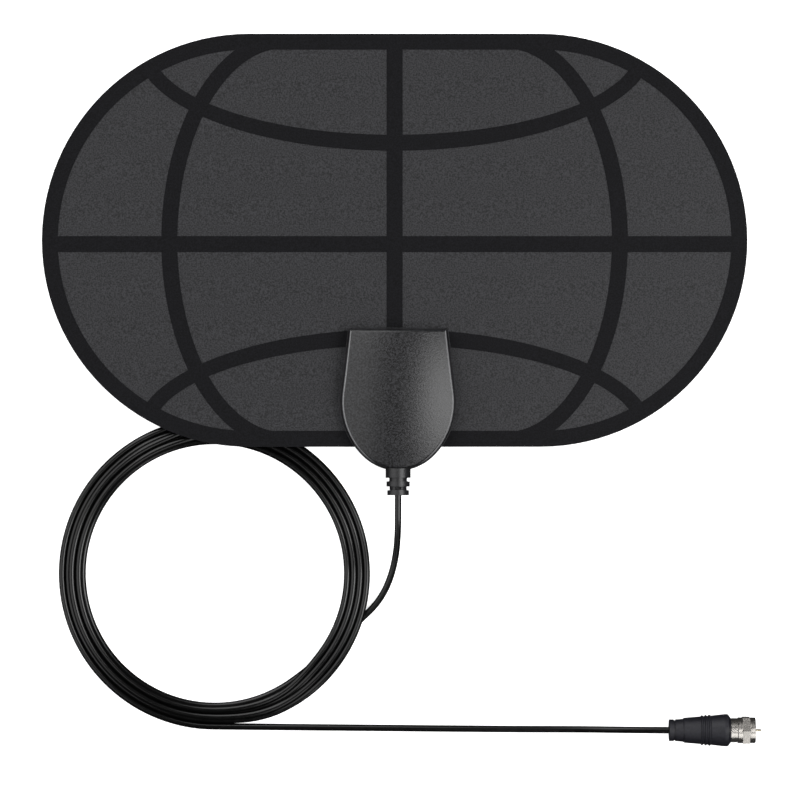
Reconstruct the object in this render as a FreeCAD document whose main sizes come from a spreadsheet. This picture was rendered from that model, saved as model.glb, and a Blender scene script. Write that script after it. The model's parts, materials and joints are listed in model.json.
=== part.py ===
"""Indoor TV antenna: an oval film panel, a moulded amplifier case and a coiled lead with a screw plug.

The panel and the case are modelled flat, with the panel's back centre at the origin, +Y towards the
panel's far long edge and +Z out of its front. A placement shared by those pieces then lays them down:
the far edge and the case's back touch the surface, so the panel leans by a degree or two. The lead, its coil
and the plug lie on that surface, Z = 0.
"""
import FreeCAD, Part
import Sketcher
import math
import os

Vector = FreeCAD.Vector

# Driving dimensions in millimetres and degrees
SIZES = [
    # How far a cutting tool passes through what it cuts
    ("overcut", 1.0),
    # Panel: two films with foil between them and a printed line pattern on the front
    ("panel_length", 300.0),
    ("panel_width", 176.0),
    ("back_film_thickness", 0.35),
    ("front_film_thickness", 0.35),
    ("foil_thickness", 0.1),
    ("foil_margin", 12.0),
    ("foil_band", 12.0),
    ("foil_gap", 8.0),
    ("print_thickness", 0.15),
    ("print_band", 6.8),
    ("print_case_clearance", 0.3),
    ("cross_line_drop", 1.8),
    ("side_curve_centre", 46.8),
    ("side_curve_half_width", 49.0),
    ("side_curve_half_height", 85.2),
    ("end_curve_centre", 81.9),
    ("end_curve_half_width", 106.5),
    ("end_curve_half_height", 40.5),
    ("curve_trim", 0.4),
    # Case: domed front shell and flat back shell, clamping the panel's near edge
    ("case_offset", 1.5),
    ("case_top", 37.6),
    ("case_length", 60.5),
    ("case_top_width", 42.2),
    ("case_flare", 6.75),
    ("case_side_radius", 32.3),
    ("case_end_radius", 21.3),
    ("case_wall", 1.8),
    ("case_draft", 6.0),
    ("front_height", 12.5),
    ("dome_length_radius", 170.0),
    ("dome_width_radius", 70.0),
    ("dome_centre", 58.0),
    ("dome_edge_radius", 1.4),
    ("back_depth", 4.4),
    ("back_floor", 1.4),
    ("back_edge_radius", 0.8),
    ("slot_clearance", 0.2),
    # Screws that join the shells
    ("boss_radius", 2.5),
    ("screw_radius", 1.1),
    ("screw_length", 8.0),
    ("screw_head_radius", 2.0),
    ("screw_head_height", 1.3),
    ("screw_clearance", 0.05),
    ("counterbore_depth", 1.6),
    ("counterbore_clearance", 0.15),
    ("column_radius", 3.4),
    ("upper_screw_spread", 13.5),
    ("upper_screw_drop", 8.6),
    ("lower_screw_spread", 8.8),
    ("lower_screw_rise", 5.3),
    # Circuit board and what stands on it
    ("board_width", 30.0),
    ("board_height", 23.0),
    ("board_thickness", 1.2),
    ("board_centre", 69.5),
    ("rivet_spread", 9.5),
    ("rivet_radius", 1.2),
    ("rivet_head_radius", 2.2),
    ("rivet_head_height", 0.4),
    ("rivet_clearance", 0.05),
    ("core_width", 7.4),
    ("core_length", 6.6),
    ("core_height", 4.2),
    ("core_hole_radius", 0.9),
    ("core_hole_spread", 1.75),
    ("core_rise", 6.5),
    ("winding_radius", 0.6),
    ("winding_overhang", 0.4),
    ("chip_length", 2.0),
    ("chip_width", 1.25),
    ("chip_height", 0.8),
    ("chip_spacing", 6.0),
    ("chip_drop", 5.75),
    ("solder_width", 2.2),
    ("solder_length", 3.2),
    ("solder_inset", 0.3),
    # Coaxial lead and its ribbed strain relief
    ("cable_radius", 1.4),
    ("dielectric_radius", 0.75),
    ("conductor_radius", 0.25),
    ("jacket_gap", 3.1),
    ("dielectric_length", 5.5),
    ("conductor_length", 3.6),
    ("relief_flange_radius", 3.6),
    ("relief_flange_length", 1.6),
    ("relief_neck_radius", 2.9),
    ("relief_length", 10.4),
    ("relief_rib_radius", 5.3),
    ("relief_rib_shrink", 0.35),
    ("relief_first_rib_length", 3.0),
    ("relief_rib_length", 2.1),
    ("relief_core_radius", 4.0),
    ("relief_slot_width", 1.2),
    ("relief_seat", 1.4),
    ("relief_fit", 0.05),
    # Coil of the lead, by the surface that it lies on
    ("coil_inner_radius", 54.9),
    ("coil_outer_radius", 67.0),
    ("coil_height", 5.3),
    ("coil_edge_radius", 2.2),
    ("coil_x", -76.5),
    ("coil_y", -136.85),
    # Screw plug, along X from the lead's end to the pin
    ("plug_x", 116.5),
    ("plug_y", -203.15),
    ("boot_length", 26.1),
    ("boot_sleeve_length", 6.4),
    ("boot_sleeve_radius", 4.6),
    ("boot_neck_radius", 5.3),
    ("boot_end_radius", 6.85),
    ("boot_land_length", 1.4),
    ("boot_chamfer_length", 1.2),
    ("boot_chamfer_depth", 1.7),
    ("boot_groove_start", 1.9),
    ("boot_groove_length", 0.7),
    ("boot_groove_depth", 0.35),
    ("boot_shoulder_length", 0.6),
    ("boot_shoulder_rise", 0.25),
    ("boot_rib_height", 0.45),
    ("boot_rib_start", 13.3),
    ("boot_rib_pitch", 1.57),
    ("barrel_radius", 5.1),
    ("barrel_length", 2.8),
    ("shank_radius", 3.5),
    ("shank_length", 12.0),
    ("post_radius", 3.0),
    ("post_flange_radius", 3.9),
    ("post_flange_length", 0.9),
    ("insulator_radius", 1.8),
    ("nut_gap", 0.25),
    ("nut_collar_radius", 5.45),
    ("nut_collar_length", 1.95),
    ("nut_flat_width", 11.1),
    ("nut_hex_length", 3.0),
    ("nut_groove_radius", 5.0),
    ("nut_groove_length", 0.3),
    ("nut_front_length", 2.1),
    ("nut_bore_radius", 4.6),
    ("nut_back_wall", 1.2),
    ("nut_clearance", 0.1),
    ("pin_radius", 0.5),
    ("pin_core_radius", 0.25),
    ("pin_free_length", 2.7),
]

# Route of the lead on the surface, chosen by hand: x, y, z of each turn of the way
LEAD_ROUTE = [
    (1.5, -103.2, 9.46),
    (1.5, -110.7, 9.5),
    (1.4, -119.2, 8.1),
    (0.8, -127.6, 5.3),
    (-0.9, -136.1, 2.8),
    (-3.9, -144.0, 1.65),
    (-8.2, -150.5, 1.4),
    (-14.0, -156.0, 1.4),
]
BIGHT_ROUTE = [
    (-79.0, -72.9, 1.4),
    (-66.5, -70.9, 1.4),
    (-53.7, -68.8, 1.4),
    (-37.6, -66.0, 1.4),
    (-30.6, -59.8, 1.4),
    (-27.9, -50.8, 1.4),
    (-30.3, -41.7, 1.4),
    (-37.1, -35.3, 1.4),
    (-46.3, -33.4, 1.4),
    (-55.1, -36.7, 1.4),
    (-64.3, -48.9, 1.4),
    (-72.0, -58.4, 1.4),
    (-79.5, -66.3, 1.4),
    (-88.0, -71.5, 1.4),
]
TAIL_ROUTE = [
    (-82.0, -202.3, 1.4),
    (64.0, -203.15, 1.4),
    (83.0, -203.15, 2.2),
    (100.5, -203.15, 5.9),
    (116.5, -203.15, 6.85),
]

# Share of a run that each of the arcs at its ends takes
ARC_SHARE = 0.45

doc = FreeCAD.newDocument("indoor_antenna")
sheet = doc.addObject("Spreadsheet::Sheet", "Sizes")
for row, (alias, value) in enumerate(SIZES, start=1):
    cell = "A%d" % row
    sheet.set(cell, str(value))
    sheet.setAlias(cell, alias)
doc.recompute()

subparts = []


# Helpers: sizes, expressions and placements

def size(alias):
    return float(sheet.get(alias))


def expression(text):
    """An expression on the sheet's aliases, each written with a leading $."""
    return text.replace("$", "Sizes.")


def bind(item, **sizes):
    """Bind properties of an object to expressions. A double underscore stands for a dot."""
    for name, text in sizes.items():
        item.setExpression(name.replace("__", "."), expression(text))


PANEL_THICKNESS = "($back_film_thickness + $front_film_thickness)"
BOARD_TOP = "(%s + $board_thickness)" % PANEL_THICKNESS
CABLE_HEIGHT = "(%s + $dielectric_radius)" % BOARD_TOP
CASE_END = "($case_top + $case_length)"
BACK_INSET = "($back_depth * tan($case_draft) + $back_edge_radius * tan(45 - $case_draft / 2))"
LEAN = "atan($back_depth / ($panel_width / 2 + $case_top + %s))" % BACK_INSET


def lay_down(item, sideways):
    """Lay a piece of the panel or the case on the surface, the footprint of both centred on the origin."""
    item.Placement = FreeCAD.Placement(Vector(0, 0, 0), FreeCAD.Rotation(Vector(-1, 0, 0), 1))
    bind(item,
         Placement__Rotation__Angle=LEAN,
         Placement__Base__x=sideways,
         Placement__Base__y="(%s - $panel_width / 2) / 2" % CASE_END,
         Placement__Base__z="$panel_width / 2 * sin(%s)" % LEAN)
    return item


def keep(item, label):
    """Name a finished sub-part that lies on the surface."""
    item.Label = label
    subparts.append(item)


def keep_panel(item, label):
    lay_down(item, "0")
    keep(item, label)


def keep_case(item, label):
    lay_down(item, "$case_offset")
    keep(item, label)


# Helpers: sketches and features

def new_body(name):
    return doc.addObject("PartDesign::Body", name + "_body")


def new_sketch(body, name, plane="XY_Plane", height=None):
    sketch = body.newObject("Sketcher::SketchObject", name)
    support = [item for item in body.Origin.OriginFeatures if item.Role == plane][0]
    sketch.AttachmentSupport = [(support, "")]
    sketch.MapMode = "FlatFace"
    if height:
        bind(sketch, AttachmentOffset__Base__z=height)
    return sketch


def dimension(sketch, text, kind, *where):
    """Add a driving dimension and bind it to an expression, from a start value worked out by the sheet."""
    index = sketch.addConstraint(Sketcher.Constraint(kind, *where))
    sketch.setExpression("Constraints[%d]" % index, expression(text))


def pad(body, sketch, length, reverse=False, taper=None):
    feature = body.newObject("PartDesign::Pad", sketch.Name + "_pad")
    feature.Profile = sketch
    feature.Reversed = reverse
    bind(feature, Length=length)
    if taper:
        bind(feature, TaperAngle="-" + taper)
    return feature


def pocket(body, sketch, length, reverse=False):
    feature = body.newObject("PartDesign::Pocket", sketch.Name + "_pocket")
    feature.Profile = sketch
    feature.Reversed = reverse
    bind(feature, Length=length)
    return feature


def add_circle(sketch, x, y, radius):
    """A circle with its centre and radius bound to expressions."""
    centre = Vector(value_of(x), value_of(y), 0)
    circle = sketch.addGeometry(Part.Circle(centre, Vector(0, 0, 1), value_of(radius)))
    dimension(sketch, radius, "Radius", circle, value_of(radius))
    dimension(sketch, x, "DistanceX", -1, 1, circle, 3, centre.x)
    dimension(sketch, y, "DistanceY", -1, 1, circle, 3, centre.y)


def value_of(text):
    """The number that an expression on the sheet gives now."""
    result = sheet.evalExpression(expression(text))
    return float(getattr(result, "Value", result))


def add_stadium(sketch, inset="0"):
    """The panel's outline, two long edges and two half-circle ends, moved in by an inset."""
    radius_text = "$panel_width / 2 - (%s)" % inset
    half_text = "($panel_length - $panel_width) / 2"
    radius, half = value_of(radius_text), value_of(half_text)
    right = Part.Circle(Vector(half, 0, 0), Vector(0, 0, 1), radius)
    left = Part.Circle(Vector(-half, 0, 0), Vector(0, 0, 1), radius)
    top = sketch.addGeometry(Part.LineSegment(Vector(-half, radius, 0), Vector(half, radius, 0)))
    right_end = sketch.addGeometry(Part.ArcOfCircle(right, -math.pi / 2, math.pi / 2))
    bottom = sketch.addGeometry(Part.LineSegment(Vector(half, -radius, 0), Vector(-half, -radius, 0)))
    left_end = sketch.addGeometry(Part.ArcOfCircle(left, math.pi / 2, 3 * math.pi / 2))
    sketch.addConstraint([
        Sketcher.Constraint("Tangent", top, 2, right_end, 2),
        Sketcher.Constraint("Tangent", right_end, 1, bottom, 1),
        Sketcher.Constraint("Tangent", bottom, 2, left_end, 2),
        Sketcher.Constraint("Tangent", left_end, 1, top, 1),
        Sketcher.Constraint("Horizontal", top),
        Sketcher.Constraint("PointOnObject", right_end, 3, -1),
        Sketcher.Constraint("PointOnObject", left_end, 3, -1),
    ])
    dimension(sketch, half_text, "DistanceX", -1, 1, right_end, 3, half)
    dimension(sketch, half_text, "DistanceX", left_end, 3, -1, 1, half)
    dimension(sketch, radius_text, "Radius", right_end, radius)


def add_shield(sketch, inset="0"):
    """The case's outline: a straight top, flaring sides, and a round end towards the lead."""
    flare = math.radians(size("case_flare"))
    move = value_of(inset)
    half = size("case_top_width") / 2 + move * (math.tan(flare) - 1 / math.cos(flare))
    side, end = size("case_side_radius") - move, size("case_end_radius") - move
    top = -size("case_top") - move
    drop = size("case_length") - 2 * move - end
    reach = side / math.cos(flare) - half
    slope = math.tan(flare)
    middle = reach * slope + drop
    spread = middle ** 2 - (1 + slope ** 2) * (reach ** 2 + drop ** 2 - (side - end) ** 2)
    side_drop = (middle - math.sqrt(spread)) / (1 + slope ** 2)
    side_x = slope * side_drop - reach
    side_y = top - side_drop
    lean = math.atan2(top - drop - side_y, -side_x)
    start = Vector(side_x + side * math.cos(flare), side_y + side * math.sin(flare), 0)
    mirrored = Vector(-start.x, start.y, 0)
    circle_right = Part.Circle(Vector(side_x, side_y, 0), Vector(0, 0, 1), side)
    circle_left = Part.Circle(Vector(-side_x, side_y, 0), Vector(0, 0, 1), side)
    circle_end = Part.Circle(Vector(0, top - drop, 0), Vector(0, 0, 1), end)
    edge = sketch.addGeometry(Part.LineSegment(Vector(-half, top, 0), Vector(half, top, 0)))
    right = sketch.addGeometry(Part.LineSegment(start, Vector(half, top, 0)))
    right_arc = sketch.addGeometry(Part.ArcOfCircle(circle_right, lean, flare))
    round_end = sketch.addGeometry(Part.ArcOfCircle(circle_end, math.pi - lean, 2 * math.pi + lean))
    left_arc = sketch.addGeometry(Part.ArcOfCircle(circle_left, math.pi - flare, math.pi - lean))
    left = sketch.addGeometry(Part.LineSegment(mirrored, Vector(-half, top, 0)))
    sketch.addConstraint([
        Sketcher.Constraint("Coincident", edge, 2, right, 2),
        Sketcher.Constraint("Coincident", edge, 1, left, 2),
        Sketcher.Constraint("Tangent", right, 1, right_arc, 2),
        Sketcher.Constraint("Tangent", right_arc, 1, round_end, 2),
        Sketcher.Constraint("Tangent", round_end, 1, left_arc, 2),
        Sketcher.Constraint("Tangent", left_arc, 1, left, 1),
        Sketcher.Constraint("Symmetric", edge, 1, edge, 2, -2),
        Sketcher.Constraint("PointOnObject", round_end, 3, -2),
        Sketcher.Constraint("Equal", right_arc, left_arc),
        Sketcher.Constraint("Horizontal", left_arc, 3, right_arc, 3),
    ])
    half_text = "$case_top_width / 2 + (%s) * (tan($case_flare) - 1 / cos($case_flare))" % inset
    dimension(sketch, "2 * (%s)" % half_text, "DistanceX", edge, 1, edge, 2, 2 * half)
    dimension(sketch, "-$case_top - (%s)" % inset, "DistanceY", -1, 1, edge, 2, top)
    dimension(sketch, "90 deg + $case_flare * 1 deg", "Angle", right, math.pi / 2 + flare)
    dimension(sketch, "$case_side_radius - (%s)" % inset, "Radius", right_arc, side)
    dimension(sketch, "$case_end_radius - (%s)" % inset, "Radius", round_end, end)
    dimension(sketch, "$case_end_radius - %s" % CASE_END, "DistanceY", -1, 1, round_end, 3, top - drop)


def add_profile(sketch, points):
    """A closed outline of straight edges, each point given by a pair of expressions."""
    places = [Vector(value_of(x), value_of(y), 0) for x, y in points]
    lines = []
    for index, place in enumerate(places):
        following = places[(index + 1) % len(places)]
        lines.append(sketch.addGeometry(Part.LineSegment(place, following)))
    for index, line in enumerate(lines):
        after = lines[(index + 1) % len(lines)]
        sketch.addConstraint(Sketcher.Constraint("Coincident", line, 2, after, 1))
    for line, (x, y), place in zip(lines, points, places):
        dimension(sketch, x, "DistanceX", -1, 1, line, 1, place.x)
        dimension(sketch, y, "DistanceY", -1, 1, line, 1, place.y)


def turned(name, points, along_lead=False):
    """A body turned about X, or about the lead's axis in the case, from pairs of place and radius."""
    body = new_body(name)
    sketch = new_sketch(body, name + "_section", height=CABLE_HEIGHT if along_lead else None)
    if along_lead:
        points = [(radius, "-(%s) - %s" % (place, CASE_END)) for place, radius in points]
    add_profile(sketch, points)
    feature = body.newObject("PartDesign::Revolution", name + "_turn")
    feature.Profile = sketch
    feature.ReferenceAxis = (sketch, ["V_Axis" if along_lead else "H_Axis"])
    feature.Angle = 360
    return body


def cylinder(name, x, y, z, radius, height):
    item = doc.addObject("Part::Cylinder", name)
    bind(item, Placement__Base__x=x, Placement__Base__y=y, Placement__Base__z=z, Radius=radius, Height=height)
    return item


def box(name, x, y, z, length, width, height):
    item = doc.addObject("Part::Box", name)
    bind(item, Placement__Base__x=x, Placement__Base__y=y, Placement__Base__z=z,
         Length=length, Width=width, Height=height)
    return item


def fuse(name, items):
    item = doc.addObject("Part::MultiFuse", name)
    item.Shapes = items
    return item


def cut(name, base, tool):
    item = doc.addObject("Part::Cut", name)
    item.Base = base
    item.Tool = tool
    return item


def common(name, base, tool):
    item = doc.addObject("Part::Common", name)
    item.Base = base
    item.Tool = tool
    return item


SCREWS = [
    ("upper_right", "$upper_screw_spread", "-($case_top + $upper_screw_drop)"),
    ("upper_left", "-$upper_screw_spread", "-($case_top + $upper_screw_drop)"),
    ("lower_right", "$lower_screw_spread", "$lower_screw_rise - %s" % CASE_END),
    ("lower_left", "-$lower_screw_spread", "$lower_screw_rise - %s" % CASE_END),
]
CHIPS = 4
RIVETS = [("right", "$rivet_spread"), ("left", "-$rivet_spread")]
RIVET_Y = "-($panel_width / 2 - $foil_margin - $foil_band / 2)"


# Panel

def film_holes(body, name, height, depth):
    """Holes through a film for the upper screws and the feed rivets."""
    sketch = new_sketch(body, name + "_holes", height=height)
    for _, x, y in SCREWS[:2]:
        add_circle(sketch, x + " + $case_offset", y, "$screw_radius + $screw_clearance")
    for _, x in RIVETS:
        add_circle(sketch, x + " + $case_offset", RIVET_Y, "$rivet_radius + $rivet_clearance")
    return pocket(body, sketch, depth)


def film(name, low, thickness):
    body = new_body(name)
    sketch = new_sketch(body, name + "_outline", height=low)
    add_stadium(sketch)
    pad(body, sketch, thickness)
    film_holes(body, name, "%s + %s" % (low, thickness), thickness)
    return body


FOIL_LOW = "$back_film_thickness - $foil_thickness"


def foil_ring(name):
    """A band of foil inside the panel's edge, split at both long sides into two halves."""
    body = new_body(name)
    sketch = new_sketch(body, name + "_band", height=FOIL_LOW)
    add_stadium(sketch, "$foil_margin")
    add_stadium(sketch, "$foil_margin + $foil_band")
    pad(body, sketch, "$foil_thickness")
    return body


def back_film(name):
    """The back film, with the foil's band pressed into its front."""
    sheet_of_film = film(name + "_sheet", "0", "$back_film_thickness")
    return cut(name, sheet_of_film, foil_ring(name + "_recess"))


def antenna_foil(name):
    low, height = "-$overcut", "2 * $overcut + $back_film_thickness"
    gap = box(name + "_gap", "-$foil_gap / 2", "-$panel_width / 2", low, "$foil_gap", "$panel_width", height)
    halves = cut(name + "_halves", foil_ring(name), gap)
    holes = [cylinder(name + "_hole_" + side, x + " + $case_offset", RIVET_Y, low,
                      "$rivet_radius + $rivet_clearance", height) for side, x in RIVETS]
    return cut(name, halves, fuse(name + "_holes", holes))


LINE_LOW = "%s - 2 * $overcut" % PANEL_THICKNESS
LINE_HEIGHT = "$print_thickness + 4 * $overcut"


def line_prism(name, half_width, half_height, x, y):
    """An elliptical prism, with its longer half-axis along X or Y, taller than the printed layer."""
    along_y = value_of(half_height) > value_of(half_width)
    outline = doc.addObject("Part::Ellipse", name + "_outline")
    turn = 90 if along_y else 0
    outline.Placement = FreeCAD.Placement(Vector(0, 0, 0), FreeCAD.Rotation(Vector(0, 0, 1), turn))
    bind(outline,
         MajorRadius=half_height if along_y else half_width,
         MinorRadius=half_width if along_y else half_height,
         Placement__Base__x=x, Placement__Base__y=y, Placement__Base__z=LINE_LOW)
    prism = doc.addObject("Part::Extrusion", name)
    prism.Base = outline
    prism.DirMode = "Custom"
    prism.Dir = Vector(0, 0, 1)
    prism.Solid = True
    bind(prism, LengthFwd=LINE_HEIGHT)
    return prism


def curved_line(name, half_width, half_height, x, y, half_box):
    """Half of an elliptical band of the printed pattern."""
    wider, narrower = " + $print_band / 2", " - $print_band / 2"
    outer = line_prism(name + "_outer", half_width + wider, half_height + wider, x, y)
    inner = line_prism(name + "_inner", half_width + narrower, half_height + narrower, x, y)
    return common(name, cut(name + "_ring", outer, inner), box(name + "_half", *half_box))


def printed_lines(name):
    """The lines inside the border: an upright, a level one and four curves, as on a globe."""
    low, high = LINE_LOW, LINE_HEIGHT
    tall_low, tall_high = LINE_LOW + " - $overcut", LINE_HEIGHT + " + 2 * $overcut"
    length, width = "$panel_length", "$panel_width"
    left, bottom = "-$panel_length / 2", "-$panel_width / 2"
    level = "-$cross_line_drop - $print_band / 2"
    lines = [box(name + "_upright", "-$print_band / 2", bottom, low, "$print_band", width, high),
             box(name + "_level", left, level, low, length, "$print_band", high)]
    side_start, end_start = "($side_curve_centre + $curve_trim)", "($end_curve_centre - $curve_trim)"
    for side, sign, start in (("right", "", side_start), ("left", "-", left)):
        half_box = (start, bottom, tall_low, "$panel_length / 2 - " + side_start, width, tall_high)
        lines.append(curved_line(name + "_" + side, "$side_curve_half_width", "$side_curve_half_height",
                                 sign + "$side_curve_centre", "0", half_box))
    for side, sign, start in (("far", "", "0"), ("near", "-", "-" + end_start)):
        half_box = (left, start, tall_low, length, end_start, tall_high)
        lines.append(curved_line(name + "_" + side, "$end_curve_half_width", "$end_curve_half_height",
                                 "0", sign + "$end_curve_centre", half_box))
    return lines


def printed_grid(name):
    """The printed layer: the panel's outline less the fields between its lines and the case's seat."""
    low = PANEL_THICKNESS
    layer = new_body(name + "_layer")
    sketch = new_sketch(layer, name + "_layer_outline", height=low)
    add_stadium(sketch)
    pad(layer, sketch, "$print_thickness")
    overcut_low, overcut_high = low + " - $overcut", "$print_thickness + 2 * $overcut"
    body = new_body(name + "_fields")
    sketch = new_sketch(body, name + "_fields_outline", height=overcut_low)
    add_stadium(sketch, "$print_band")
    pad(body, sketch, overcut_high)
    fields = body
    for line in printed_lines(name):
        fields = cut(line.Name + "_left_out", fields, line)
    seat = new_body(name + "_seat")
    sketch = new_sketch(seat, name + "_seat_outline", height=overcut_low)
    add_shield(sketch, "-$print_case_clearance")
    pad(seat, sketch, overcut_high)
    bind(seat, Placement__Base__x="$case_offset")
    return cut(name, cut(name + "_open", layer, fields), seat)


# Case

def screw_set(name, low, radius, height, screws=SCREWS):
    return fuse(name, [cylinder(name + "_" + place, x, y, low, radius, height) for place, x, y in screws])


def lead_way(name, radius):
    """A cylinder along the lead through the case's round end."""
    item = doc.addObject("Part::Cylinder", name)
    item.Placement = FreeCAD.Placement(Vector(0, 0, 0), FreeCAD.Rotation(Vector(1, 0, 0), 90))
    bind(item, Placement__Base__y="$case_wall * 2 - %s" % CASE_END, Placement__Base__z=CABLE_HEIGHT,
         Radius=radius, Height="$case_wall * 4")
    return item


def domed_block(name, inset, wall):
    """The case's outline drawn up with draft and closed by a shallow dome, rounder across than along."""
    body = new_body(name)
    sketch = new_sketch(body, name + "_outline")
    add_shield(sketch, inset)
    pad(body, sketch, "$front_height", taper="$case_draft")
    dome = doc.addObject("Part::Torus", name + "_dome")
    dome.Placement = FreeCAD.Placement(Vector(0, 0, 0), FreeCAD.Rotation(Vector(0, 1, 0), 90))
    bind(dome, Radius1="$dome_length_radius - $dome_width_radius", Radius2="$dome_width_radius - (%s)" % wall,
         Placement__Base__y="-$dome_centre", Placement__Base__z="$front_height - $dome_length_radius")
    return common(name, body, dome)


def rounded(name, block, faces, radius):
    """Round every edge of the chosen faces of a finished block."""
    doc.recompute()
    edges = block.Shape.Edges
    rim = [edge for face in faces(block.Shape) for edge in face.Edges]
    numbers = [index + 1 for index, edge in enumerate(edges) if any(edge.isSame(other) for other in rim)]
    item = doc.addObject("Part::Fillet", name)
    item.Base = block
    item.Edges = [(number, radius, radius) for number in numbers]
    return item


def dome_faces(shape):
    return [face for face in shape.Faces if isinstance(face.Surface, Part.Toroid)]


def lowest_face(shape):
    return [min(shape.Faces, key=lambda face: face.CenterOfMass.z)]


def front_shell(name):
    block = domed_block(name + "_block", "0", "0")
    outer = rounded(name + "_outer", block, dome_faces, size("dome_edge_radius"))
    hollow = domed_block(name + "_hollow", "$case_wall", "$case_wall")
    posts = screw_set(name + "_posts", "0", "$boss_radius", "$front_height")
    bosses = common(name + "_bosses", posts, outer)
    walls = fuse(name + "_walls", [cut(name + "_skin", outer, hollow), bosses])
    slot = box(name + "_slot", "-$case_top_width", "-$panel_width / 2 - $slot_clearance", "-$overcut",
               "2 * $case_top_width", "$panel_width / 2", "$overcut + %s" % PANEL_THICKNESS)
    pilots = screw_set(name + "_pilots", "-$overcut", "$screw_radius + $screw_clearance",
                       "$overcut + $screw_length + $screw_clearance - $back_depth + $counterbore_depth")
    way = lead_way(name + "_way", "$relief_neck_radius + $relief_fit")
    return cut(name, walls, fuse(name + "_cuts", [slot, pilots, way]))


def back_block(name, inset, depth):
    """The case's outline drawn down with draft."""
    body = new_body(name)
    sketch = new_sketch(body, name + "_outline")
    add_shield(sketch, inset)
    pad(body, sketch, depth, reverse=True, taper="$case_draft")
    return body


def back_shell(name):
    block = back_block(name + "_block", "0", "$back_depth")
    outer = rounded(name + "_outer", block, lowest_face, size("back_edge_radius"))
    hollow = back_block(name + "_hollow", "$case_wall", "$back_depth - $back_floor")
    columns = screw_set(name + "_columns", "-$back_depth + $back_floor / 2", "$column_radius",
                        "$back_depth - $back_floor / 2")
    walls = fuse(name + "_walls", [cut(name + "_skin", outer, hollow),
                                   common(name + "_posts", columns, outer)])
    low = "-$back_depth - $overcut"
    holes = screw_set(name + "_holes", low, "$screw_radius + $screw_clearance", "$back_depth + 2 * $overcut")
    sinks = screw_set(name + "_sinks", low, "$screw_head_radius + $counterbore_clearance",
                      "$overcut + $counterbore_depth")
    way = lead_way(name + "_way", "$relief_neck_radius + $relief_fit")
    return cut(name, walls, fuse(name + "_cuts", [holes, sinks, way]))


def case_screws(name):
    seat = "$counterbore_depth - $back_depth"
    shanks = screw_set(name + "_shanks", seat, "$screw_radius", "$screw_length")
    heads = screw_set(name + "_heads", seat + " - $screw_head_height", "$screw_head_radius",
                      "$screw_head_height")
    return fuse(name, [shanks, heads])


# Circuit board and what stands on it

BOARD_NEAR = "(-$board_centre - $board_height / 2)"


def circuit_board(name):
    body = new_body(name)
    sketch = new_sketch(body, name + "_outline", height=PANEL_THICKNESS)
    right, left = "$board_width / 2", "-$board_width / 2"
    top = "-$board_centre + $board_height / 2"
    add_profile(sketch, [(left, BOARD_NEAR), (right, BOARD_NEAR), (right, top), (left, top)])
    for _, x in RIVETS:
        add_circle(sketch, x, RIVET_Y, "$rivet_radius + $rivet_clearance")
    pad(body, sketch, "$board_thickness")
    return body


def feed_rivets(name):
    """Two rivets that join the foil's halves to the board, with a head at each end."""
    pieces = []
    for side, x in RIVETS:
        pieces.append(cylinder(name + "_shank_" + side, x, RIVET_Y, "0", "$rivet_radius", BOARD_TOP))
        for end, low in (("back", "-$rivet_head_height"), ("front", BOARD_TOP)):
            pieces.append(cylinder(name + "_%s_%s" % (end, side), x, RIVET_Y, low,
                                   "$rivet_head_radius", "$rivet_head_height"))
    return fuse(name, pieces)


CORE_Y = "-$board_centre + $core_rise"
CORE_Z = "%s + $core_height / 2" % BOARD_TOP


def balun_core(name):
    """A ferrite block with two holes along Y, standing on the board."""
    block = box(name + "_block", "-$core_width / 2", CORE_Y + " - $core_length / 2", BOARD_TOP,
                "$core_width", "$core_length", "$core_height")
    holes = []
    for side, x in (("right", "$core_hole_spread"), ("left", "-$core_hole_spread")):
        hole = doc.addObject("Part::Cylinder", name + "_hole_" + side)
        hole.Placement = FreeCAD.Placement(Vector(0, 0, 0), FreeCAD.Rotation(Vector(1, 0, 0), -90))
        bind(hole, Radius="$core_hole_radius", Height="2 * $core_length", Placement__Base__x=x,
             Placement__Base__y=CORE_Y + " - $core_length", Placement__Base__z=CORE_Z)
        holes.append(hole)
    return cut(name, block, fuse(name + "_holes", holes))


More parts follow.
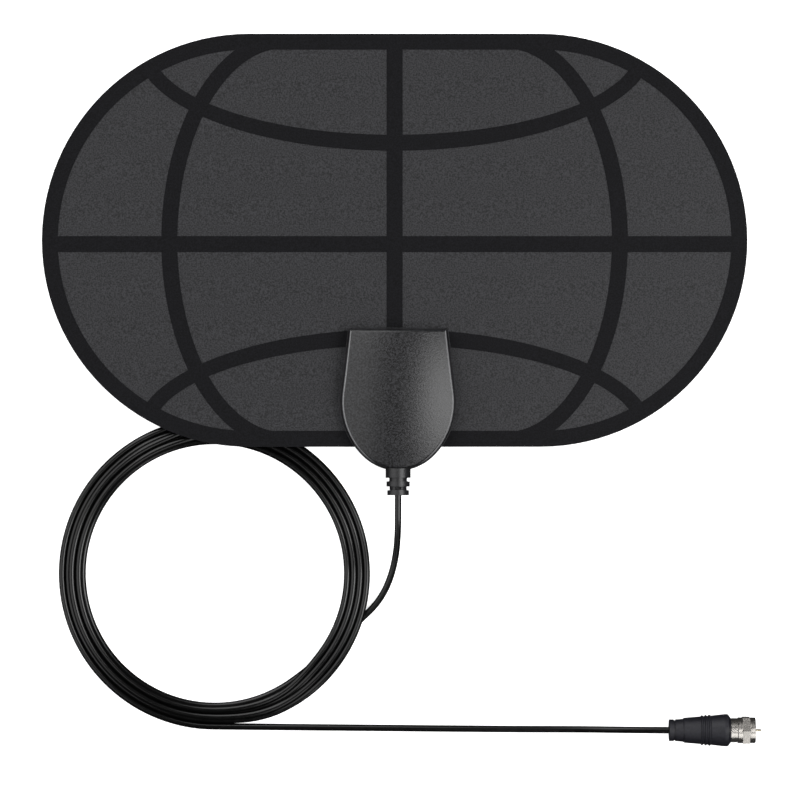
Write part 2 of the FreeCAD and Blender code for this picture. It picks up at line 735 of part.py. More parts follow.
def balun_winding(name):
    """The bundle of wire through both holes: two straight legs and a round end at each side."""
    body = new_body(name)
    path = new_sketch(body, name + "_path", height=CORE_Z)
    half, spread = "($core_length / 2 + $winding_overhang)", "$core_hole_spread"
    y_low, y_high = "%s - %s" % (CORE_Y, half), "%s + %s" % (CORE_Y, half)
    low, high, x = value_of(y_low), value_of(y_high), value_of(spread)
    up = Vector(0, 0, 1)
    right = path.addGeometry(Part.LineSegment(Vector(x, low, 0), Vector(x, high, 0)))
    far = path.addGeometry(Part.ArcOfCircle(Part.Circle(Vector(0, high, 0), up, x), 0, math.pi))
    left = path.addGeometry(Part.LineSegment(Vector(-x, high, 0), Vector(-x, low, 0)))
    near = path.addGeometry(Part.ArcOfCircle(Part.Circle(Vector(0, low, 0), up, x), math.pi, 2 * math.pi))
    path.addConstraint([
        Sketcher.Constraint("Tangent", right, 2, far, 1),
        Sketcher.Constraint("Tangent", far, 2, left, 1),
        Sketcher.Constraint("Tangent", left, 2, near, 1),
        Sketcher.Constraint("Tangent", near, 2, right, 1),
        Sketcher.Constraint("Vertical", right),
        Sketcher.Constraint("PointOnObject", far, 3, -2),
        Sketcher.Constraint("PointOnObject", near, 3, -2),
    ])
    dimension(path, spread, "Radius", far, x)
    dimension(path, y_high, "DistanceY", -1, 1, far, 3, high)
    dimension(path, y_low, "DistanceY", -1, 1, near, 3, low)
    section = new_sketch(body, name + "_section", "XZ_Plane", height="-(%s)" % CORE_Y)
    add_circle(section, spread, CORE_Z, "$winding_radius")
    feature = body.newObject("PartDesign::AdditivePipe", name + "_pipe")
    feature.Profile = section
    feature.Spine = path
    return body


def board_chips(name):
    """A row of small chip parts across the board, between the ferrite core and the lead's end."""
    chips = []
    for index in range(CHIPS):
        x = "(%s) * $chip_spacing - $chip_length / 2" % (index - (CHIPS - 1) / 2)
        chips.append(box(name + "_%d" % index, x, "-$board_centre - $chip_drop", BOARD_TOP,
                         "$chip_length", "$chip_width", "$chip_height"))
    return fuse(name, chips)


JACKET_END = "(%s - $jacket_gap)" % BOARD_NEAR
CONDUCTOR_START = "%s + $dielectric_length" % JACKET_END


def solder_pad(name):
    """The solder under the lead's centre conductor."""
    body = new_body(name)
    sketch = new_sketch(body, name + "_outline", height=BOARD_TOP)
    low = CONDUCTOR_START + " + $solder_inset"
    high = low + " + $solder_length"
    half = "$solder_width / 2"
    add_profile(sketch, [("-" + half, low), (half, low), (half, high), ("-" + half, high)])
    pad(body, sketch, "$dielectric_radius - $conductor_radius")
    return body


# Coaxial lead and strain relief

def lead_piece(name, start, length, radius, bore=None):
    """A straight piece of the lead inside the case, along Y at the lead's height, with a bore or without."""
    body = new_body(name)
    sketch = new_sketch(body, name + "_section", "XZ_Plane", height="-(%s)" % start)
    add_circle(sketch, "0", CABLE_HEIGHT, radius)
    if bore:
        add_circle(sketch, "0", CABLE_HEIGHT, bore)
    pad(body, sketch, length, reverse=True)
    return body


def cable_end(name):
    """The jacketed lead from the relief's outer end to just before the board."""
    start = "(-$relief_fit - $relief_length - %s)" % CASE_END
    return lead_piece(name, start, "%s - %s" % (JACKET_END, start), "$cable_radius")


def cable_dielectric(name):
    return lead_piece(name, JACKET_END, "$dielectric_length", "$dielectric_radius", "$conductor_radius")


def cable_conductor(name):
    return lead_piece(name, JACKET_END, "$dielectric_length + $conductor_length", "$conductor_radius")


def relief_anchor(name, bore, end):
    """The relief's inner part: a flange behind the case's end wall and a neck through it."""
    wall_lean = "(%s + $relief_flange_radius) * tan($case_draft)" % CABLE_HEIGHT
    wall_curve = "$relief_flange_radius ^ 2 / (2 * ($case_end_radius - $case_wall))"
    neck_start = "-($case_wall + $relief_fit + %s + %s)" % (wall_lean, wall_curve)
    flange_start = "%s - $relief_flange_length" % neck_start
    flange, neck = "$relief_flange_radius", "$relief_neck_radius"
    return turned(name, [(flange_start, bore), (flange_start, flange), (neck_start, flange),
                         (neck_start, neck), (end, neck), (end, bore)], along_lead=True)


def relief_seat(name):
    """The outside of the case, grown by the relief's fit."""
    front = domed_block(name + "_front", "-$relief_fit", "-$relief_fit")
    return fuse(name, [front, back_block(name + "_back", "-$relief_fit", "$back_depth")])


def strain_relief(name):
    """A moulded relief: an anchor in the case's end, then shrinking ribs with slots, seated on the case."""
    gap = "($relief_length - $relief_first_rib_length - 2 * $relief_rib_length) / 2"
    ribs = ["$relief_first_rib_length", "$relief_rib_length", "$relief_rib_length"]
    starts = ["$relief_fit"]
    for rib in ribs[:-1]:
        starts.append("%s + %s + %s" % (starts[-1], rib, gap))
    bore = "$cable_radius + $relief_fit"
    points = [("-$relief_seat", bore)]
    for index, (start, rib) in enumerate(zip(["-$relief_seat"] + starts[1:], ribs)):
        radius = "$relief_rib_radius - %d * $relief_rib_shrink" % index
        end = starts[index] + " + " + rib
        points += [(start, radius), (end, radius)]
        if index < 2:
            core = "$relief_core_radius - %d * $relief_rib_shrink" % index
            points += [(end, core), (starts[index + 1], core)]
    points.append(("$relief_fit + $relief_length", bore))
    ribbed = turned(name + "_ribbed", points, along_lead=True)
    seated = cut(name + "_seated", ribbed, relief_seat(name + "_seat"))
    whole = fuse(name + "_whole", [seated, relief_anchor(name + "_anchor", bore, "$relief_first_rib_length")])
    slots = []
    for index in range(2):
        end = "-(%s + %s + %s + (%s + $relief_slot_width) / 2)" % (CASE_END, starts[index], ribs[index], gap)
        for side, place in (("first", "$cable_radius + $relief_rib_shrink"),
                            ("second", "-$cable_radius - $relief_rib_shrink - $relief_rib_radius")):
            across = place if index == 0 else "-$cable_radius"
            low = "%s + %s" % (CABLE_HEIGHT, "-$cable_radius" if index == 0 else place)
            width = "$relief_rib_radius" if index == 0 else "2 * $cable_radius"
            height = "2 * $cable_radius" if index == 0 else "$relief_rib_radius"
            slots.append(box(name + "_slot_%d_%s" % (index, side), across, end, low,
                             width, "$relief_slot_width", height))
    return cut(name, whole, fuse(name + "_slots", slots))


def tube(name, route):
    """A round tube along straight runs joined by tangent arcs, each as large as its runs allow."""
    points = [Vector(*point) for point in route]
    edges = []
    start = points[0]
    for before, corner, after in zip(points, points[1:], points[2:]):
        back, onward = (before - corner), (after - corner)
        shorter = min(back.Length, onward.Length)
        reach = ARC_SHARE * shorter
        turn = math.pi - back.getAngle(onward)
        first = corner + back.normalize() * reach
        last = corner + onward.normalize() * reach
        radius = reach / math.tan(turn / 2)
        print("%s: radius %.1f mm at %s" % (name, radius, tuple(round(value, 1) for value in corner)))
        inward = (first + last) * 0.5 - corner
        middle = corner + inward.normalize() * (math.hypot(reach, radius) - radius)
        edges.append(Part.LineSegment(start, first).toShape())
        edges.append(Part.Arc(first, middle, last).toShape())
        start = last
    edges.append(Part.LineSegment(start, points[-1]).toShape())
    path = Part.Wire(edges)
    radius = size("cable_radius")
    ring = Part.Wire(Part.Circle(points[0], points[1] - points[0], radius).toShape())
    item = doc.addObject("Part::Feature", name)
    item.Shape = path.makePipeShell([ring], True, False)
    ratio = item.Shape.Volume / (math.pi * radius ** 2 * path.Length)
    print("%s: length %.1f mm, volume %.4f of section times length" % (name, path.Length, ratio))
    return item


def cable_coil(name):
    """The outer shape of the coil: a flat ring with rounded edges."""
    inner, outer = "$coil_inner_radius", "$coil_outer_radius"
    body = new_body(name)
    sketch = new_sketch(body, name + "_section", "XZ_Plane")
    edge, high = "$coil_edge_radius", "$coil_height"
    add_profile(sketch, [
        (inner + " + " + edge, "0"), (outer + " - " + edge, "0"),
        (outer, edge), (outer, high + " - " + edge),
        (outer + " - " + edge, high), (inner + " + " + edge, high),
        (inner, high + " - " + edge), (inner, edge)])
    feature = body.newObject("PartDesign::Revolution", name + "_turn")
    feature.Profile = sketch
    feature.ReferenceAxis = (sketch, ["V_Axis"])
    feature.Angle = 360
    bind(body, Placement__Base__x="$coil_x", Placement__Base__y="$coil_y")
    return body


# Screw plug, turned about X

def at_plug(item):
    """Place a piece turned about X on the plug's axis, with the boot's end resting on the surface."""
    bind(item, Placement__Base__x="$plug_x", Placement__Base__y="$plug_y",
         Placement__Base__z="$boot_end_radius")
    return item


def plug_boot(name):
    """The moulded boot: a grooved sleeve on the lead, then a cone with three ribs, wide at the metal end."""
    length, sleeve, radius = "$boot_length", "$boot_sleeve_length", "$boot_sleeve_radius"
    groove_end = "$boot_groove_start + $boot_groove_length"
    slope = "($boot_end_radius - $boot_neck_radius) / ($boot_length - $boot_sleeve_length)"
    points = [("0", "$cable_radius"), ("0", radius), ("$boot_groove_start", radius),
              ("$boot_groove_start", radius + " - $boot_groove_depth"),
              (groove_end, radius + " - $boot_groove_depth"), (groove_end, radius),
              (sleeve + " - $boot_shoulder_length", radius + " + $boot_shoulder_rise"),
              (sleeve, "$boot_neck_radius")]
    for index in range(3):
        start = "$boot_rib_start + %d * $boot_rib_pitch" % index
        for step, rise in ((0, 0), (0.25, 1), (0.5, 1), (0.75, 0)):
            along = "(%s + %s * $boot_rib_pitch)" % (start, step)
            wall = "$boot_neck_radius + (%s - %s) * %s + %d * $boot_rib_height" % (along, sleeve, slope, rise)
            points.append((along, wall))
    points += [(length + " - $boot_chamfer_length - $boot_land_length", "$boot_end_radius"),
               (length + " - $boot_chamfer_length", "$boot_end_radius"),
               (length, "$boot_end_radius - $boot_chamfer_depth"),
               (length, "$shank_radius"), (length + " - $shank_length", "$shank_radius"),
               (length + " - $shank_length", "$cable_radius")]
    return at_plug(turned(name, points))


NUT_START = "($boot_length + $barrel_length + $nut_gap)"
NUT_INSIDE = "(%s + $nut_back_wall)" % NUT_START
POST_END = "(%s + $nut_clearance + $post_flange_length)" % NUT_INSIDE


def plug_body(name):
    """The metal body: a shank in the boot, a barrel behind the nut, and a flanged post that holds the nut."""
    start = "$boot_length - $shank_length"
    barrel_end = "$boot_length + $barrel_length"
    flange = "%s + $nut_clearance" % NUT_INSIDE
    return at_plug(turned(name, [
        (start, "$insulator_radius"), (start, "$shank_radius"), ("$boot_length", "$shank_radius"),
        ("$boot_length", "$barrel_radius"), (barrel_end, "$barrel_radius"), (barrel_end, "$post_radius"),
        (flange, "$post_radius"), (flange, "$post_flange_radius"), (POST_END, "$post_flange_radius"),
        (POST_END, "$insulator_radius")]))


def coupling_nut(name):
    """The nut that turns on the post: round collar, hexagon, groove and round front, hollow in front."""
    hex_start = "(%s + $nut_collar_length)" % NUT_START
    hex_end = "(%s + $nut_hex_length)" % hex_start
    groove_end = "(%s + $nut_groove_length)" % hex_end
    front = "(%s + $nut_front_length)" % groove_end
    collar, groove = "$nut_collar_radius", "$nut_groove_radius"
    throat, bore_wall = "$post_radius + $nut_clearance", "$nut_bore_radius"
    blank = turned(name + "_round", [
        (NUT_START, throat), (NUT_START, collar), (hex_start, collar), (hex_start, groove),
        (groove_end, groove), (groove_end, collar), (front, collar), (front, bore_wall),
        (NUT_INSIDE, bore_wall), (NUT_INSIDE, throat)])
    hexagon = doc.addObject("Part::Prism", name + "_hexagon")
    hexagon.Polygon = 6
    hexagon.Placement = FreeCAD.Placement(Vector(0, 0, 0), FreeCAD.Rotation(Vector(0, 1, 0), 90))
    bind(hexagon, Circumradius="$nut_flat_width / sqrt(3)", Height="$nut_hex_length",
         Placement__Base__x=hex_start)
    bore = doc.addObject("Part::Cylinder", name + "_bore")
    bore.Placement = FreeCAD.Placement(Vector(0, 0, 0), FreeCAD.Rotation(Vector(0, 1, 0), 90))
    bind(bore, Radius="$nut_bore_radius", Height="2 * $nut_hex_length", Placement__Base__x=NUT_INSIDE)
    return at_plug(fuse(name, [blank, cut(name + "_flats", hexagon, bore)]))


def plug_insulator(name):
    """The plastic core of the plug, from the lead's end to the post's face, round the centre pin."""
    start = "$boot_length - $shank_length"
    return at_plug(turned(name, [(start, "$pin_core_radius"), (start, "$insulator_radius"),
                                 (POST_END, "$insulator_radius"), (POST_END, "$pin_core_radius")]))


def centre_pin(name):
    start = "$boot_length - $shank_length"
    front = "%s + $nut_collar_length + $nut_hex_length + $nut_groove_length + $nut_front_length" % NUT_START
    tip = "%s + $pin_free_length" % front
    return at_plug(turned(name, [(start, "0"), (start, "$pin_core_radius"), (POST_END, "$pin_core_radius"),
                                 (POST_END, "$pin_radius"), (tip + " - $pin_radius", "$pin_radius"),
                                 (tip, "$pin_radius / 2"), (tip, "0")]))


# The antenna

def build():
    keep_panel(back_film("back_film"), "back_film")
    keep_panel(antenna_foil("antenna_foil"), "antenna_foil")
    keep_panel(film("front_film_sheet", "$back_film_thickness", "$front_film_thickness"), "front_film")
    keep_panel(printed_grid("printed_grid"), "printed_grid")
    for make in (front_shell, back_shell, case_screws, circuit_board, feed_rivets, balun_core, balun_winding,
                 board_chips, solder_pad, strain_relief, cable_end, cable_dielectric, cable_conductor):
        keep_case(make(make.__name__), make.__name__)
    keep(tube("cable_lead", LEAD_ROUTE), "cable_lead")
    keep(tube("cable_bight", BIGHT_ROUTE), "cable_bight")
    keep(tube("cable_tail", TAIL_ROUTE), "cable_tail")
    for make in (cable_coil, plug_boot, plug_body, coupling_nut, plug_insulator, centre_pin):
        keep(make(make.__name__), make.__name__)


def export():
    doc.recompute()
    failed = [item.Name for item in doc.Objects if "Invalid" in item.State or "Error" in item.State]
    if failed:
        raise RuntimeError("failed objects: %s" % ", ".join(failed))
    for item in subparts:
        if item.Shape.isNull() or not item.Shape.isValid() or item.Shape.Volume <= 0:
            raise RuntimeError("bad shape: %s" % item.Label)
    os.makedirs("parts", exist_ok=True)
    for item in subparts:
        box_of = item.Shape.optimalBoundingBox(True, False)
        print("%-18s %d solid(s) %10.2f mm3  x %.2f..%.2f  y %.2f..%.2f  z %.2f..%.2f" % (
            item.Label, len(item.Shape.Solids), item.Shape.Volume,
            box_of.XMin, box_of.XMax, box_of.YMin, box_of.YMax, box_of.ZMin, box_of.ZMax))
        item.Shape.exportStep("parts/%s.step" % item.Label)


build()
export()
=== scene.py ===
"""Looks of the indoor TV antenna: film panel, moulded case, coiled coaxial lead and screw plug.

Lengths named here are in millimetres and become metres where they reach Blender.
"""

import json
import math

import bpy
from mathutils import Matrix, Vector


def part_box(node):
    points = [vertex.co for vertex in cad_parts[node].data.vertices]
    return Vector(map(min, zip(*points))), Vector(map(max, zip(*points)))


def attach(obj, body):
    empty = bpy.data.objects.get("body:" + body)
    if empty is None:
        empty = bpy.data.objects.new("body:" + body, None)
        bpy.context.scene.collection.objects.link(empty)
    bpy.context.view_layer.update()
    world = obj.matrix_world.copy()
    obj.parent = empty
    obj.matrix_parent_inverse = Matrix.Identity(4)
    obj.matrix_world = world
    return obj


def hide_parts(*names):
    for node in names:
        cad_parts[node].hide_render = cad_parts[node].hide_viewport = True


MM = 0.001

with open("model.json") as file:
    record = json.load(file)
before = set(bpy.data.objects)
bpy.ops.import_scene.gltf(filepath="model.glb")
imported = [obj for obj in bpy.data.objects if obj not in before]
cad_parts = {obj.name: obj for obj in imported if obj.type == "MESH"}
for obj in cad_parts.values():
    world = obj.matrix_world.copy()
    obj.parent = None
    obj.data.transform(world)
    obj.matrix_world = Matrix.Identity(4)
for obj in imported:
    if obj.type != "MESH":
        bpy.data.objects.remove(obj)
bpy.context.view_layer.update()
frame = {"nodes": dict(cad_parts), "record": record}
nodes = frame["nodes"]

# Photograph: straight down, 800 px across for this width of the surface, centred on this point
PHOTO_WIDTH = 340.9
PHOTO_CENTRE = (2.3, -63.0)
CAMERA_HEIGHT = 1700.0
SENSOR_WIDTH = 36.0

# Lead: the route of each stretch, as in the part's source, with the tail's start close to the coil
LEAD_ROUTE = [
    (1.5, -103.2, 9.46),
    (1.5, -110.7, 9.5),
    (1.4, -119.2, 8.1),
    (0.8, -127.6, 5.3),
    (-0.9, -136.1, 2.8),
    (-3.9, -144.0, 1.65),
    (-8.2, -150.5, 1.4),
    (-14.0, -156.0, 1.4),
]
BIGHT_ROUTE = [
    (-79.0, -72.9, 1.4),
    (-66.5, -70.9, 1.4),
    (-53.7, -68.8, 1.4),
    (-37.6, -66.0, 1.4),
    (-30.6, -59.8, 1.4),
    (-27.9, -50.8, 1.4),
    (-30.3, -41.7, 1.4),
    (-37.1, -35.3, 1.4),
    (-46.3, -33.4, 1.4),
    (-55.1, -36.7, 1.4),
    (-64.3, -48.9, 1.4),
    (-72.0, -58.4, 1.4),
    (-79.5, -66.3, 1.4),
    (-88.0, -71.5, 1.4),
]
TAIL_ROUTE = [
    (-82.0, -201.85, 1.4),
    (-73.0, -202.0, 1.4),
    (45.0, -203.1, 1.4),
    (64.0, -203.15, 1.4),
    (83.0, -203.15, 2.2),
    (100.5, -203.15, 5.9),
    (116.5, -203.15, 6.85),
]
CABLE_DIAMETER = 2.8
CABLE_REST = CABLE_DIAMETER / 2
STRAND_STEP = 2.77

# Coil: angles are clockwise from +X, as seen from above, and grow along the lead
TURNS = 5
FULL_TURN = 360
TURN_STEP = 8
FIRST_RADIUS = 56.5
LAST_STRAND_RADIUS = 65.25
NESTED_PITCH = 1.5
JOINING_PITCH = 2.04
UNDERPASS = [(22, 62.6), (29, 60.2), (36, 58.3), (43, 57.1), (50, 56.5)]
JOINED_ANGLE = 66
NESTED_FROM, NESTED_TO = 90, 252
FLAT_FROM = 270
HUMP_FROM, HUMP_FULL = 346, 364
HUMP_LEAVES = 406
STEP_OUT_FROM, STEP_OUT_TO = 400, 425
LAST_TURN_LEAVES = 252
LAST_STRAND_FROM, LAST_STRAND_TO = 106, 262
LEAVING_POINT = (260, 63.0)

# Thread in the nut: lengths along it start at the nut's back face
NUT_BORE_RADIUS = 4.6
THREAD_PITCH = 0.794
THREAD_DIAMETER = 0.44
THREAD_FROM, THREAD_TO = 2.6, 7.0
THREAD_STEPS = 24

# Tubes: how finely the lead and the thread are divided round and along, and their spline's order
TUBE_ROUNDNESS = 8
TUBE_STEPS = 3
TUBE_ORDER = 3

# Grain: noise values lie about this middle, and roughness spreads this far to both sides
NOISE_MIDDLE = 0.5
GRAIN_ROUGHNESS_SPREAD = 0.06

# Metal: stains darken it by this factor between two noise values, and change its roughness
STAIN_FACTOR = 0.86
STAIN_FULL, STAIN_NONE = 0.3, 0.7
STAIN_DETAIL = 4.0
STAIN_SMOOTHER, STAIN_ROUGHER = 0.07, 0.09
SCRATCH_DEPTH = 0.01

# Case: a painted highlight along its edges, placed by how far the surface faces sideways and up
EDGE_HIGHLIGHT_COLOUR = (0.20, 0.20, 0.205)
EDGE_STARTS, EDGE_FULL, EDGE_FADES, EDGE_ENDS = 0.40, 0.50, 0.74, 0.84
WALL_ENDS, ROUNDING_FULL = 0.12, 0.30

# Stage
FLOOR_COLOUR = (0.9, 0.9, 0.9, 1)
FLOOR_ROUGHNESS = 0.9
FLOOR_GLOW = 0.8
FLOOR_HALF_WIDTH = 3000
FLOOR_DROP = 0.2
WORLD_STRENGTH = 0.04

# Softboxes, all turned to one point of the panel: name, place, size, power in watts
LIGHT_TARGET = (0, -60, 0)
LIGHTS = [
    ("left_softbox", (-850, 0, 850), (1500, 1400), 10.4),
    ("right_softbox", (760, -140, 1050), (800, 900), 14.2),
    ("far_softbox", (-420, 1000, 750), (900, 1400), 10.3),
    ("far_right_softbox", (450, 1000, 1000), (600, 700), 0.2),
    ("near_softbox", (300, -900, 680), (300, 850), 1.45),
]


# Helpers

def smooth(value):
    """A share from 0 to 1 that starts and ends gently."""
    value = min(max(value, 0.0), 1.0)
    return value * value * (3 - 2 * value)


def between(low, high, share):
    return low + (high - low) * share


def to_scene(item):
    bpy.context.scene.collection.objects.link(item)
    return item


def node_tree(name):
    """A new material with its Principled shader and its node tree."""
    material = bpy.data.materials.new(name)
    material.use_nodes = True
    tree = material.node_tree
    shader = tree.nodes["Principled BSDF"]
    return material, tree, shader


def noise(tree, size, detail=2.0, roughness=0.6):
    """A noise texture in object space with grains of about this size."""
    place = tree.nodes.new("ShaderNodeTexCoord")
    texture = tree.nodes.new("ShaderNodeTexNoise")
    texture.inputs["Scale"].default_value = 1 / (size * MM)
    texture.inputs["Detail"].default_value = detail
    texture.inputs["Roughness"].default_value = roughness
    tree.links.new(place.outputs["Object"], texture.inputs["Vector"])
    return texture.outputs["Fac"]


def ramp(tree, value, stops):
    """Colours by a value, from pairs of position and colour."""
    item = tree.nodes.new("ShaderNodeValToRGB")
    elements = item.color_ramp.elements
    for index, (position, colour) in enumerate(stops):
        element = elements[index] if index < 2 else elements.new(position)
        element.position = position
        element.color = (*colour, 1)
    tree.links.new(value, item.inputs["Fac"])
    return item.outputs["Color"]


def calculated(tree, operation, *values):
    """The result of one operation on values of the node tree."""
    item = tree.nodes.new("ShaderNodeMath")
    item.operation = operation
    for value, socket in zip(values, item.inputs):
        tree.links.new(value, socket)
    return item.outputs["Value"]


def bump(tree, shader, height, depth):
    """A bump of this depth from a height texture."""
    item = tree.nodes.new("ShaderNodeBump")
    item.inputs["Distance"].default_value = depth * MM
    item.inputs["Strength"].default_value = 1.0
    tree.links.new(height, item.inputs["Height"])
    tree.links.new(item.outputs["Normal"], shader.inputs["Normal"])


def spread_roughness(tree, shader, value, low, high):
    """Roughness that varies between two values with a texture."""
    item = tree.nodes.new("ShaderNodeMapRange")
    item.inputs["To Min"].default_value = low
    item.inputs["To Max"].default_value = high
    tree.links.new(value, item.inputs["Value"])
    tree.links.new(item.outputs["Result"], shader.inputs["Roughness"])


def grey(level, tint=0.0):
    """A near-neutral colour, a little bluer for a positive tint."""
    return (level, level, level * (1 + tint))


# Materials

def grained(name, dark, light, roughness, grain, depth, specular=0.5, tint=0.0, spread=0.18):
    """Plastic, film or rubber with a fine grain in colour, gloss and relief."""
    material, tree, shader = node_tree(name)
    texture = noise(tree, grain)
    darkest = (NOISE_MIDDLE - spread, grey(dark, tint))
    lightest = (NOISE_MIDDLE + spread, grey(light, tint))
    tree.links.new(ramp(tree, texture, [darkest, lightest]), shader.inputs["Base Color"])
    spread_roughness(tree, shader, texture,
                     roughness - GRAIN_ROUGHNESS_SPREAD, roughness + GRAIN_ROUGHNESS_SPREAD)
    shader.inputs["Specular IOR Level"].default_value = specular
    bump(tree, shader, texture, depth)
    return material


def metal(name, colour, roughness, grain):
    """Plated or drawn metal with slight stains and fine scratches."""
    material, tree, shader = node_tree(name)
    texture = noise(tree, grain, detail=STAIN_DETAIL)
    darker = tuple(channel * STAIN_FACTOR for channel in colour)
    stained = ramp(tree, texture, [(STAIN_FULL, darker), (STAIN_NONE, colour)])
    tree.links.new(stained, shader.inputs["Base Color"])
    spread_roughness(tree, shader, texture, roughness - STAIN_SMOOTHER, roughness + STAIN_ROUGHER)
    shader.inputs["Metallic"].default_value = 1.0
    bump(tree, shader, texture, SCRATCH_DEPTH)
    return material


def case_plastic(name):
    """Fine-textured black plastic, with a painted highlight, a lighter colour, along the rounded edges of
    its two long sides.
    """
    material = grained(name, dark=0.003, light=0.024, roughness=0.34, grain=0.75, depth=0.075,
                       specular=0.4, tint=0.1, spread=0.12)
    tree = material.node_tree
    shader = tree.nodes["Principled BSDF"]
    grain_colour = shader.inputs["Base Color"].links[0].from_socket
    place = tree.nodes.new("ShaderNodeTexCoord")
    facing = tree.nodes.new("ShaderNodeSeparateXYZ")
    tree.links.new(place.outputs["Normal"], facing.inputs["Vector"])
    sideways = calculated(tree, "ABSOLUTE", facing.outputs["X"])
    # Painted highlight: the base colour turns lighter where the surface faces sideways on the edge rounding,
    # standing in for the lamps' reflection there
    black, white = (0, 0, 0), (1, 1, 1)
    edge = ramp(tree, sideways, [(EDGE_STARTS, black), (EDGE_FULL, white), (EDGE_FADES, white),
                                 (EDGE_ENDS, black)])
    off_wall = ramp(tree, facing.outputs["Z"], [(WALL_ENDS, black), (ROUNDING_FULL, white)])
    mix = tree.nodes.new("ShaderNodeMix")
    mix.data_type = "RGBA"
    tree.links.new(calculated(tree, "MULTIPLY", edge, off_wall), mix.inputs["Factor"])
    tree.links.new(grain_colour, mix.inputs["A"])
    mix.inputs["B"].default_value = (*EDGE_HIGHLIGHT_COLOUR, 1)
    tree.links.new(mix.outputs["Result"], shader.inputs["Base Color"])
    return material


def make_materials():
    """The material of each slot, by the slot's name."""
    return {
        "film": grained("film", dark=0.006, light=0.030, roughness=0.50, grain=0.6, depth=0.035,
                        specular=0.28, tint=0.12, spread=0.12),
        "foil": metal("foil", colour=(0.85, 0.85, 0.86), roughness=0.3, grain=2.0),
        "print": grained("print", dark=0.002, light=0.006, roughness=0.6, grain=0.6, depth=0.02,
                         specular=0.10, tint=0.25, spread=0.12),
        "case": case_plastic("case"),
        "steel": metal("steel", colour=(0.5, 0.5, 0.52), roughness=0.32, grain=0.8),
        "board": grained("board", dark=0.02, light=0.06, roughness=0.35, grain=1.2, depth=0.01, tint=0.1),
        "brass": metal("brass", colour=(0.62, 0.55, 0.40), roughness=0.30, grain=0.6),
        "ferrite": grained("ferrite", dark=0.02, light=0.05, roughness=0.6, grain=0.4, depth=0.02),
        "copper": metal("copper", colour=(0.78, 0.42, 0.24), roughness=0.3, grain=0.5),
        "chip": grained("chip", dark=0.015, light=0.03, roughness=0.5, grain=0.3, depth=0.01),
        "solder": metal("solder", colour=(0.75, 0.75, 0.77), roughness=0.25, grain=0.7),
        "relief": grained("relief", dark=0.008, light=0.016, roughness=0.40, grain=0.6, depth=0.03,
                          specular=0.45, tint=0.1),
        "jacket": grained("jacket", dark=0.001, light=0.002, roughness=0.21, grain=2.5, depth=0.001,
                          specular=0.38),
        "insulation": grained("insulation", dark=0.72, light=0.82, roughness=0.4, grain=0.8, depth=0.006),
        "boot": grained("boot", dark=0.006, light=0.012, roughness=0.46, grain=0.9, depth=0.03,
                        specular=0.4, tint=0.45),
        "nickel": metal("nickel", colour=(0.66, 0.63, 0.59), roughness=0.24, grain=0.9),
    }


def dress_nodes(materials):
    """Give every CAD node the material of its slot."""
    for row in frame["record"]["subparts"]:
        item = nodes[row["node"]]
        item.data.materials.clear()
        item.data.materials.append(materials[row["material_slot"]])


# Lead

def make_tube(name, points, diameter, material):
    """A round tube along one smooth open spline, with the points as its control points."""
    curve = bpy.data.curves.new(name, "CURVE")
    curve.dimensions = "3D"
    curve.bevel_depth = diameter / 2 * MM
    curve.bevel_resolution = TUBE_ROUNDNESS
    curve.resolution_u = TUBE_STEPS
    curve.use_fill_caps = True
    spline = curve.splines.new("NURBS")
    spline.points.add(len(points) - 1)
    for place, point in zip(spline.points, points):
        place.co = (*(value * MM for value in point), 1)
    spline.order_u = TUBE_ORDER
    spline.use_endpoint_u = True
    curve.materials.append(material)
    return to_scene(bpy.data.objects.new(name, curve))


def coil_centre():
    low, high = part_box("cable_coil")
    return (low.x + high.x) / 2 / MM, (low.y + high.y) / 2 / MM


def on_coil(centre, clockwise, radius, height):
    angle = -math.radians(clockwise)
    return (centre[0] + radius * math.cos(angle), centre[1] + radius * math.sin(angle), height)


def nested_lift(pitch, turn):
    """How far an even turn is raised to lie in the groove between its neighbours."""
    return math.sqrt(STRAND_STEP ** 2 - pitch ** 2) if turn % 2 == 0 else 0.0


def nested_pitch(angle):
    """The step between turns: it narrows into the nested stretch and widens after it."""
    if angle < NESTED_FROM:
        share = smooth((angle - JOINED_ANGLE) / (NESTED_FROM - JOINED_ANGLE))
        return between(JOINING_PITCH, NESTED_PITCH, share)
    return between(NESTED_PITCH, STRAND_STEP, smooth((angle - NESTED_TO) / (FLAT_FROM - NESTED_TO)))


def turn_place(turn, angle):
    """Radius and height of a turn: nested round the left, flat at the right, then over the entering lead."""
    if angle <= FLAT_FROM:
        pitch = nested_pitch(angle)
        lift = nested_lift(min(pitch, STRAND_STEP), turn)
        return FIRST_RADIUS + (turn - 1) * pitch, CABLE_REST + lift
    flat = FIRST_RADIUS + (turn - 1) * STRAND_STEP
    stepped = FIRST_RADIUS + turn * JOINING_PITCH
    radius = between(flat, stepped, smooth((angle - STEP_OUT_FROM) / (STEP_OUT_TO - STEP_OUT_FROM)))
    hump = STRAND_STEP * smooth((angle - HUMP_FROM) / (HUMP_FULL - HUMP_FROM))
    after = nested_lift(JOINING_PITCH, turn + 1)
    settled = smooth((angle - HUMP_LEAVES) / (JOINED_ANGLE + FULL_TURN - HUMP_LEAVES))
    return radius, CABLE_REST + between(hump, after, settled)


def coil_points(centre):
    """From the lead under the other strands, then turn by turn outwards to the bight."""
    points = [on_coil(centre, angle, radius, CABLE_REST) for angle, radius in UNDERPASS]
    for turn in range(1, TURNS + 1):
        last = JOINED_ANGLE + FULL_TURN if turn < TURNS else LAST_TURN_LEAVES
        first = JOINED_ANGLE if turn > 1 else UNDERPASS[-1][0] + TURN_STEP
        for angle in range(first, last, TURN_STEP):
            radius, height = turn_place(turn, max(angle, JOINED_ANGLE))
            points.append(on_coil(centre, angle, radius, height))
    angle, radius = LEAVING_POINT
    return points + [on_coil(centre, angle, radius, CABLE_REST)]


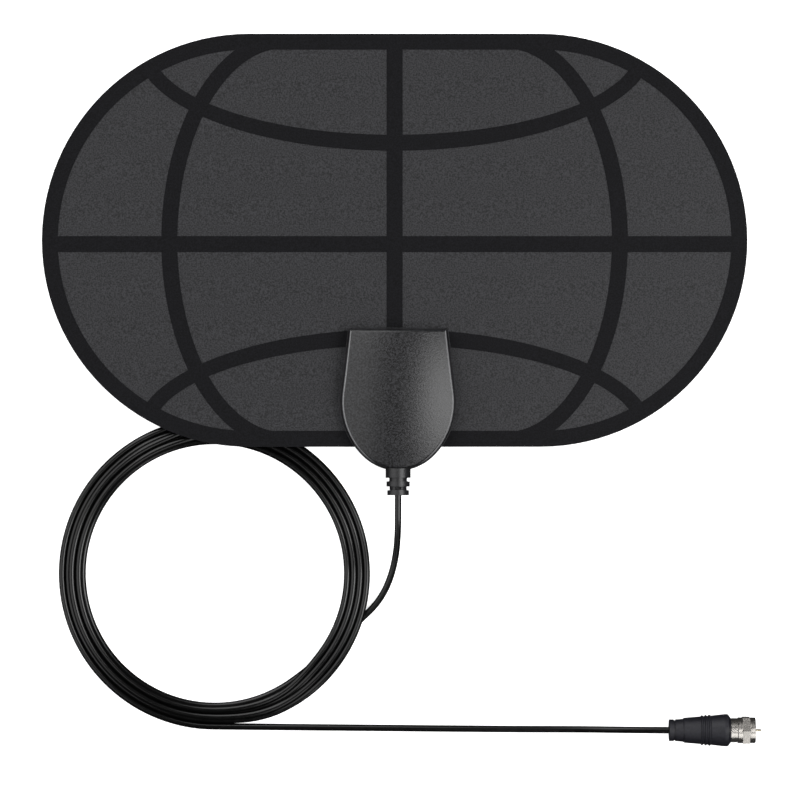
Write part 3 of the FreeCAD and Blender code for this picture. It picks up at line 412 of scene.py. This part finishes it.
def last_strand(centre):
    """Back round the coil's outside, the other way, from the bight to the tail."""
    angles = range(LAST_STRAND_FROM, LAST_STRAND_TO, TURN_STEP)
    return [on_coil(centre, -angle, LAST_STRAND_RADIUS, CABLE_REST) for angle in angles]


def make_lead(material):
    """The whole lead on one spline, from the strain relief to the plug."""
    centre = coil_centre()
    points = LEAD_ROUTE + coil_points(centre) + BIGHT_ROUTE + last_strand(centre) + TAIL_ROUTE
    lead = make_tube("coaxial_lead", points, CABLE_DIAMETER, material)
    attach(lead, "antenna")
    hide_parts("cable_lead", "cable_coil", "cable_bight", "cable_tail")


# Thread

def make_thread(material):
    """The fine ridge that winds along the nut's bore, from the post to just behind the mouth."""
    low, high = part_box("coupling_nut")
    back, level, height = low.x / MM, (low.y + high.y) / 2 / MM, (low.z + high.z) / 2 / MM
    steps = round((THREAD_TO - THREAD_FROM) / THREAD_PITCH * THREAD_STEPS)
    points = []
    for step in range(steps + 1):
        angle = 2 * math.pi * step / THREAD_STEPS
        along = THREAD_FROM + THREAD_PITCH * step / THREAD_STEPS
        points.append((back + along, level + NUT_BORE_RADIUS * math.cos(angle),
                       height + NUT_BORE_RADIUS * math.sin(angle)))
    thread = make_tube("nut_thread", points, THREAD_DIAMETER, material)
    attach(thread, "nut")


# Stage

def make_floor():
    """A pale surface just under the part, which glows a little and lights nothing."""
    material, _, shader = node_tree("floor")
    shader.inputs["Base Color"].default_value = FLOOR_COLOUR
    shader.inputs["Roughness"].default_value = FLOOR_ROUGHNESS
    shader.inputs["Specular IOR Level"].default_value = 0.0
    shader.inputs["Emission Color"].default_value = (1, 1, 1, 1)
    shader.inputs["Emission Strength"].default_value = FLOOR_GLOW
    half = FLOOR_HALF_WIDTH * MM
    corners = [(-half, -half, 0), (half, -half, 0), (half, half, 0), (-half, half, 0)]
    mesh = bpy.data.meshes.new("floor")
    mesh.from_pydata(corners, [], [(0, 1, 2, 3)])
    mesh.materials.append(material)
    floor = to_scene(bpy.data.objects.new("floor", mesh))
    floor.location.z = -FLOOR_DROP * MM
    floor.visible_glossy = False
    floor.visible_diffuse = False


def make_light(name, place, size, power):
    """A rectangular softbox at a place, turned to the panel."""
    lamp = bpy.data.lights.new(name, "AREA")
    lamp.shape = "RECTANGLE"
    lamp.size, lamp.size_y = (side * MM for side in size)
    lamp.energy = power
    item = to_scene(bpy.data.objects.new(name, lamp))
    item.location = Vector(place) * MM
    item.rotation_euler = (Vector(LIGHT_TARGET) - Vector(place)).to_track_quat("-Z", "Y").to_euler()


def make_world():
    world = bpy.data.worlds.new("studio")
    bpy.context.scene.world = world
    world.use_nodes = True
    background = world.node_tree.nodes["Background"]
    background.inputs["Color"].default_value = (1, 1, 1, 1)
    background.inputs["Strength"].default_value = WORLD_STRENGTH


def make_camera():
    """A camera straight above the photograph's centre, as wide as the photograph."""
    camera = bpy.data.cameras.new("camera")
    camera.sensor_width = SENSOR_WIDTH
    camera.lens = SENSOR_WIDTH * CAMERA_HEIGHT / PHOTO_WIDTH
    item = to_scene(bpy.data.objects.new("camera", camera))
    item.location = (PHOTO_CENTRE[0] * MM, PHOTO_CENTRE[1] * MM, CAMERA_HEIGHT * MM)
    bpy.context.scene.camera = item


materials = make_materials()
dress_nodes(materials)
make_camera()
make_lead(materials["jacket"])
make_thread(materials["nickel"])
make_floor()
make_world()
for light in LIGHTS:
    make_light(*light)
bpy.context.scene.view_settings.view_transform = "Standard"
